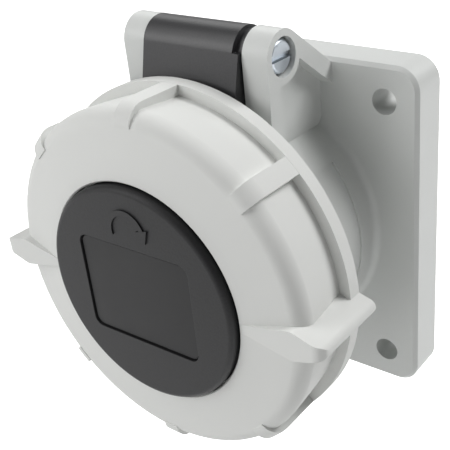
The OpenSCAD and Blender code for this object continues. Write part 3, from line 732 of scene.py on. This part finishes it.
class SOCKET_OT_stage(bpy.types.Operator):
    """Build the floor, the white surroundings, the lights and the camera"""
    bl_idname = "socket.stage"
    bl_label = "Studio"

    def execute(self, context):
        studio = context.scene.socket_studio
        build_floor(studio)
        build_sky(studio)
        for name, azimuth, elevation in LAMPS:
            add_light(name, getattr(studio, name), studio, azimuth, elevation)
        build_camera(studio)
        return {"FINISHED"}


def build_floor(studio):
    """A pale floor below the object that reads as white to the camera."""
    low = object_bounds()[0]
    form = bmesh.new()
    bmesh.ops.create_grid(form, x_segments=1, y_segments=1, size=FLOOR_REACH)
    mesh = mesh_of("floor", form)
    mesh.transform(Matrix.Translation((0, 0, low.z - studio.floor_drop)))
    material = bpy.data.materials.new("pale_floor")
    material.use_nodes = True
    tree = material.node_tree
    shader = tree.nodes["Principled BSDF"]
    shader.inputs["Base Color"].default_value = FLOOR_COLOUR
    shader.inputs["Roughness"].default_value = FLOOR_ROUGHNESS
    shader.inputs["Emission Color"].default_value = WHITE
    rays = tree.nodes.new("ShaderNodeLightPath").outputs
    seen = strongest(tree, rays["Is Camera Ray"], rays["Is Glossy Ray"], rays["Is Transmission Ray"])
    tree.links.new(maths(tree, "MULTIPLY", seen, studio.floor_glow), shader.inputs["Emission Strength"])
    mesh.materials.append(material)
    floor = put_in_scene("floor", mesh)
    floor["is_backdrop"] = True


def build_sky(studio):
    """Surroundings that the camera sees as white, with less in reflections and very little as light."""
    world = bpy.data.worlds.new("studio_sky")
    bpy.context.scene.world = world
    world.use_nodes = True
    tree = world.node_tree
    background = tree.nodes["Background"]
    background.inputs["Color"].default_value = WHITE
    rays = tree.nodes.new("ShaderNodeLightPath").outputs
    glossy = maths(tree, "MULTIPLY", rays["Is Glossy Ray"], studio.sky_gloss)
    lit = strongest(tree, rays["Is Camera Ray"], rays["Is Transmission Ray"], glossy, studio.sky)
    tree.links.new(lit, background.inputs["Strength"])


def direction(azimuth, elevation):
    """The direction at an angle to the right of the front and above the horizon, in degrees."""
    turn, rise = math.radians(azimuth), math.radians(elevation)
    return Vector((math.sin(turn) * math.cos(rise), -math.cos(turn) * math.cos(rise), math.sin(rise)))


def add_light(name, watts, studio, azimuth, elevation):
    """A soft square lamp that faces the socket."""
    lamp = bpy.data.lights.new(name, "AREA")
    lamp.energy = watts
    lamp.size = studio.lamp_size
    place = studio.lamp_distance * direction(azimuth, elevation)
    holder = put_in_scene(name, lamp)
    holder.location = place
    holder.rotation_mode = "QUATERNION"
    holder.rotation_quaternion = (-place).to_track_quat("-Z", "Y")


def build_camera(studio):
    """The camera, at its angle, roll and distance from its target in front of the panel."""
    azimuth, roll = math.radians(studio.azimuth), math.radians(studio.roll)
    back = direction(studio.azimuth, studio.elevation)
    level = Vector((math.cos(azimuth), math.sin(azimuth), 0))
    upright = back.cross(level)
    right = math.cos(roll) * level + math.sin(roll) * upright
    up = -math.sin(roll) * level + math.cos(roll) * upright
    target = Vector((studio.target_x, -studio.target_depth, -studio.target_drop))
    camera = bpy.data.cameras.new("camera")
    camera.lens = studio.lens
    camera.sensor_width = SENSOR_WIDTH
    camera.shift_x = studio.shift
    camera.clip_start = NEAREST
    holder = put_in_scene("camera", camera)
    turn = Matrix((right, up, back)).transposed().to_4x4()
    holder.matrix_world = Matrix.Translation(target + studio.distance * back) @ turn
    bpy.context.scene.camera = holder
    bpy.context.scene.view_settings.view_transform = "Standard"


class SOCKET_PT_panel(bpy.types.Panel):
    """Lists the socket's pieces"""
    bl_idname = "SOCKET_PT_panel"
    bl_label = "Panel socket"
    bl_space_type = "VIEW_3D"
    bl_region_type = "UI"
    bl_category = "Panel socket"

    def draw(self, context):
        for operator in OPERATORS:
            self.layout.operator(operator.bl_idname)


GROUPS_OF_SETTINGS = (PlasticSettings, MetalSettings, ShapeSettings, StudioSettings)
SETTING_NAMES = ("socket_plastic", "socket_metal", "socket_shape", "socket_studio")
OPERATORS = (SOCKET_OT_housing, SOCKET_OT_ring, SOCKET_OT_lid, SOCKET_OT_disc, SOCKET_OT_arrow,
             SOCKET_OT_hardware, SOCKET_OT_insides, SOCKET_OT_stage)
CLASSES = (*GROUPS_OF_SETTINGS, *OPERATORS, SOCKET_PT_panel)


def register():
    """Registers the settings, the operators and the panel."""
    for entry in CLASSES:
        bpy.utils.register_class(entry)
    for name, kind in zip(SETTING_NAMES, GROUPS_OF_SETTINGS):
        setattr(bpy.types.Scene, name, PointerProperty(type=kind))


def unregister():
    """Removes the settings, the operators and the panel."""
    for name in SETTING_NAMES:
        delattr(bpy.types.Scene, name)
    for entry in reversed(CLASSES):
        bpy.utils.unregister_class(entry)


def main():
    """Builds every piece and the studio."""
    register()
    for build in (bpy.ops.socket.housing, bpy.ops.socket.ring, bpy.ops.socket.lid, bpy.ops.socket.disc,
                  bpy.ops.socket.arrow, bpy.ops.socket.hardware, bpy.ops.socket.insides,
                  bpy.ops.socket.stage):
        build()


if __name__ == "__main__":
    main()
